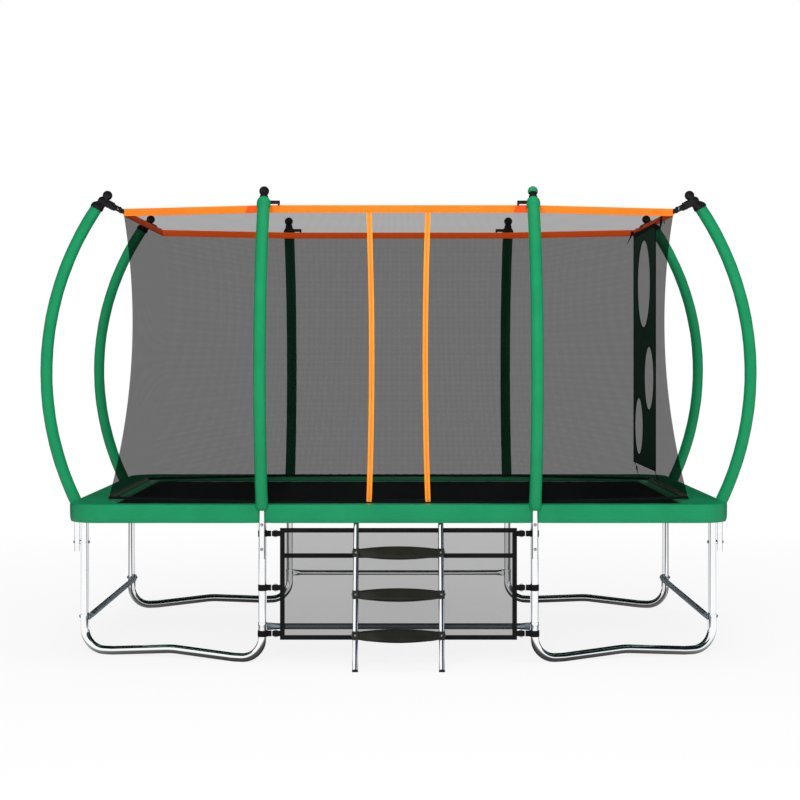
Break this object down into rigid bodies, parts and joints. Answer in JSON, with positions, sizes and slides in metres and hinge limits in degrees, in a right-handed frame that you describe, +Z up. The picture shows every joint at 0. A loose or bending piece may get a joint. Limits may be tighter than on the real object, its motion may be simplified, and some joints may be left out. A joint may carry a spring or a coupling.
{
  "type": "trampoline",
  "caption": "Rectangular garden trampoline with bowed net poles in foam sleeves, a safety net with a zip door, a ladder, a goal net and a ball target.",
  "frame": {"origin": "on the ground under the middle of the frame", "axes": "+X along the long side, +Z up, the ladder and the door face -Y"},
  "size_m": [4.1138, 2.9478, 2.6656],
  "materials": {
    "galvanised_steel": "bright galvanised",
    "brace_steel": "dull galvanised",
    "green_foam_sleeve": "smooth sleeve over foam",
    "green_vinyl_pad": "satin vinyl over foam",
    "black_mat_fabric": "woven",
    "black_plastic": "moulded",
    "black_net_mesh": "fine mesh",
    "grey_goal_mesh": "fine mesh",
    "dark_green_canvas": "canvas"
  },
  "bodies": {
    "frame": {"rail_front_right": "galvanised_steel", "rail_rear_right": "galvanised_steel", "rail_rear_left": "galvanised_steel", "rail_front_left": "galvanised_steel", "base_front_right": "galvanised_steel", "base_rear_right": "galvanised_steel", "base_rear_left": "galvanised_steel", "base_front_left": "galvanised_steel", "upright_right_front": "galvanised_steel", "upright_right_rear": "galvanised_steel", "upright_rear_right": "galvanised_steel", "upright_rear_left": "galvanised_steel", "upright_left_rear": "galvanised_steel", "upright_left_front": "galvanised_steel", "upright_front_left": "galvanised_steel", "upright_front_right": "galvanised_steel", "brace_front": "brace_steel", "brace_rear": "brace_steel", "brace_left": "brace_steel", "brace_right": "brace_steel", "pole_right_front": "galvanised_steel", "pole_right_rear": "galvanised_steel", "pole_rear_right": "galvanised_steel", "pole_rear_left": "galvanised_steel", "pole_left_rear": "galvanised_steel", "pole_left_front": "galvanised_steel", "pole_front_left": "galvanised_steel", "pole_front_right": "galvanised_steel", "sleeve_right_front": "green_foam_sleeve", "sleeve_right_rear": "green_foam_sleeve", "sleeve_rear_right": "green_foam_sleeve", "sleeve_rear_left": "green_foam_sleeve", "sleeve_left_rear": "green_foam_sleeve", "sleeve_left_front": "green_foam_sleeve", "sleeve_front_left": "green_foam_sleeve", "sleeve_front_right": "green_foam_sleeve", "cap_right_front": "black_plastic", "cap_right_rear": "black_plastic", "cap_rear_right": "black_plastic", "cap_rear_left": "black_plastic", "cap_left_rear": "black_plastic", "cap_left_front": "black_plastic", "cap_front_left": "black_plastic", "cap_front_right": "black_plastic", "springs": "galvanised_steel", "spring_pad": "green_vinyl_pad", "net_front_right": "black_net_mesh", "net_right": "black_net_mesh", "net_rear": "black_net_mesh", "net_left": "black_net_mesh", "net_front_left": "black_net_mesh", "goal_net": "grey_goal_mesh", "target_panel": "dark_green_canvas"},
    "bed": {"jumping_mat": "black_mat_fabric"},
    "door": {"net_door": "black_net_mesh"},
    "ladder": {"ladder_rail_left": "galvanised_steel", "ladder_rail_right": "galvanised_steel", "step_low": "black_plastic", "step_middle": "black_plastic", "step_high": "black_plastic"}
  },
  "joints": [
    {"name": "bed_bounce", "type": "slide", "parent": "frame", "child": "bed", "axis": [0, 0, 1], "range_m": [-0.3, 0], "stiffness_N_per_m": 5000, "springref_m": 0.03, "deforming": ["springs"]},
    {"name": "door_swing", "type": "hinge", "parent": "frame", "child": "door", "pos_m": [-0.168, -1.078, 0.9], "axis": [0, 0, -1], "range_deg": [0, 100]},
    {"name": "ladder_swing", "type": "hinge", "parent": "frame", "child": "ladder", "pos_m": [0, -1.196, 0.845], "axis": [-1, 0, 0], "range_deg": [0, 10]}
  ]
}
